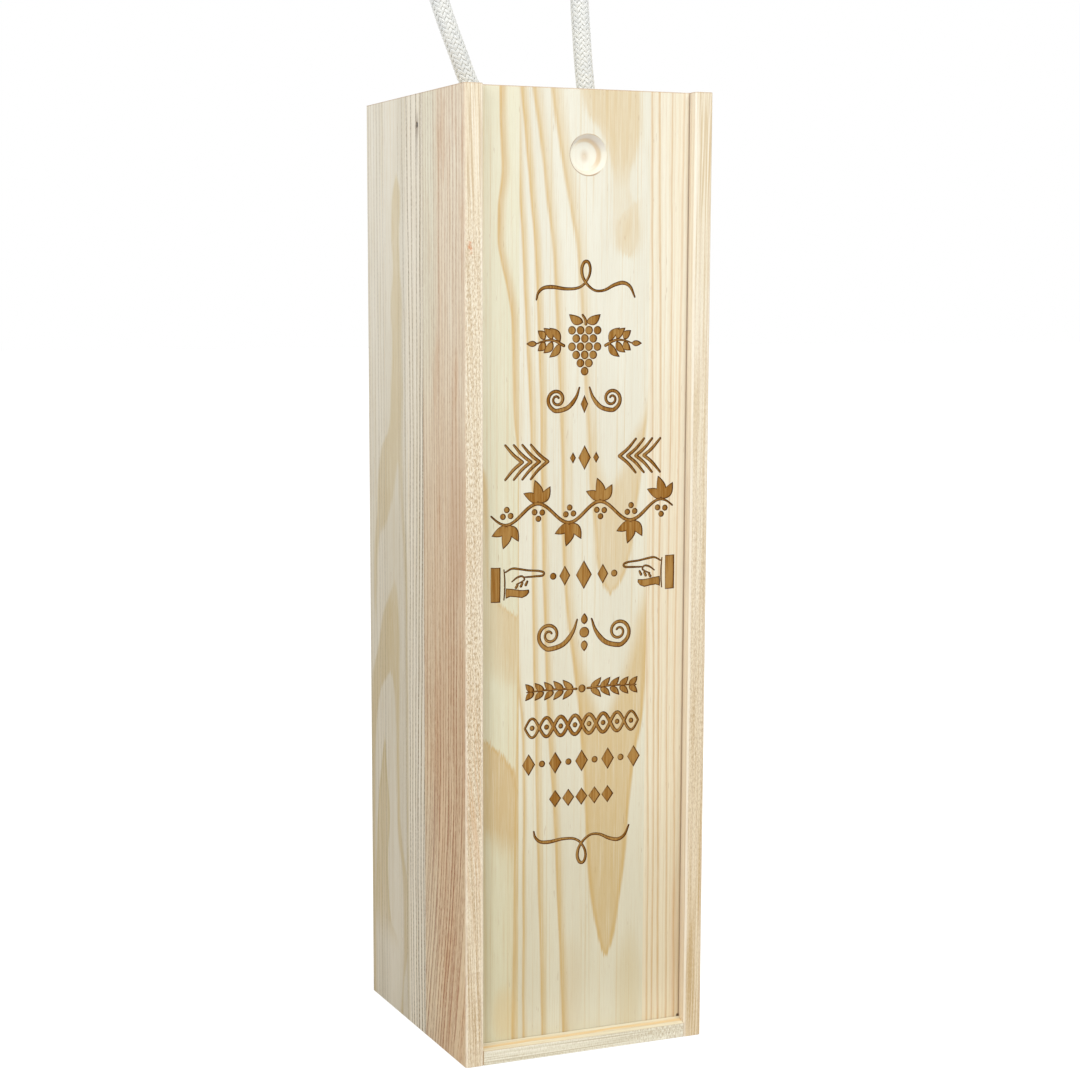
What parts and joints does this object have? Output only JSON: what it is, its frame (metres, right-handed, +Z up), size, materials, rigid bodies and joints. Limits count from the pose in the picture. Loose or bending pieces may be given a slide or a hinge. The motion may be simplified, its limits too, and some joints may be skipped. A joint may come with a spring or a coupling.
{
  "type": "wooden wine box",
  "caption": "Upright pine box for one wine bottle, with a grooved sliding front lid, a finger recess and a braided rope loop handle.",
  "frame": {"origin": "centre of the box's foot, on the surface it stands on", "axes": "+Z up along the lid's slide, -Y out of the lid's face, +X to the right seen from the front"},
  "size_m": [0.096, 0.1, 0.4488],
  "materials": {
    "pine_side_front": "planed, unfinished, fine straight grain",
    "pine_side_rear": "planed, unfinished, flame grain",
    "pine_back": "planed, unfinished",
    "pine_end": "planed, unfinished",
    "pine_lid": "planed, unfinished, with burnt-in ornament",
    "rope": "braided cotton",
    "brad": "plain wire"
  },
  "bodies": {
    "carcass": {"left_front_stave": "pine_side_front", "left_rear_stave": "pine_side_rear", "right_front_stave": "pine_side_front", "right_rear_stave": "pine_side_rear", "back_left_stave": "pine_back", "back_right_stave": "pine_back", "bottom_board": "pine_end", "top_board": "pine_end", "left_rope_end": "rope", "right_rope_end": "rope", "left_brad": "brad", "right_brad": "brad"},
    "lid": {"lid_left_stave": "pine_lid", "lid_centre_stave": "pine_lid", "lid_right_stave": "pine_lid"},
    "handle": {"rope_handle": "rope"}
  },
  "joints": [
    {"name": "lid_slide", "type": "slide", "parent": "carcass", "child": "lid", "axis": [0, 0, 1], "range_m": [0, 0.346]},
    {"name": "rope_swing", "type": "hinge", "parent": "carcass", "child": "handle", "pos_m": [0, 0, 0.3463], "axis": [1, 0, 0], "range_deg": [-75, 15], "stiffness_Nm_per_rad": 0.02}
  ]
}
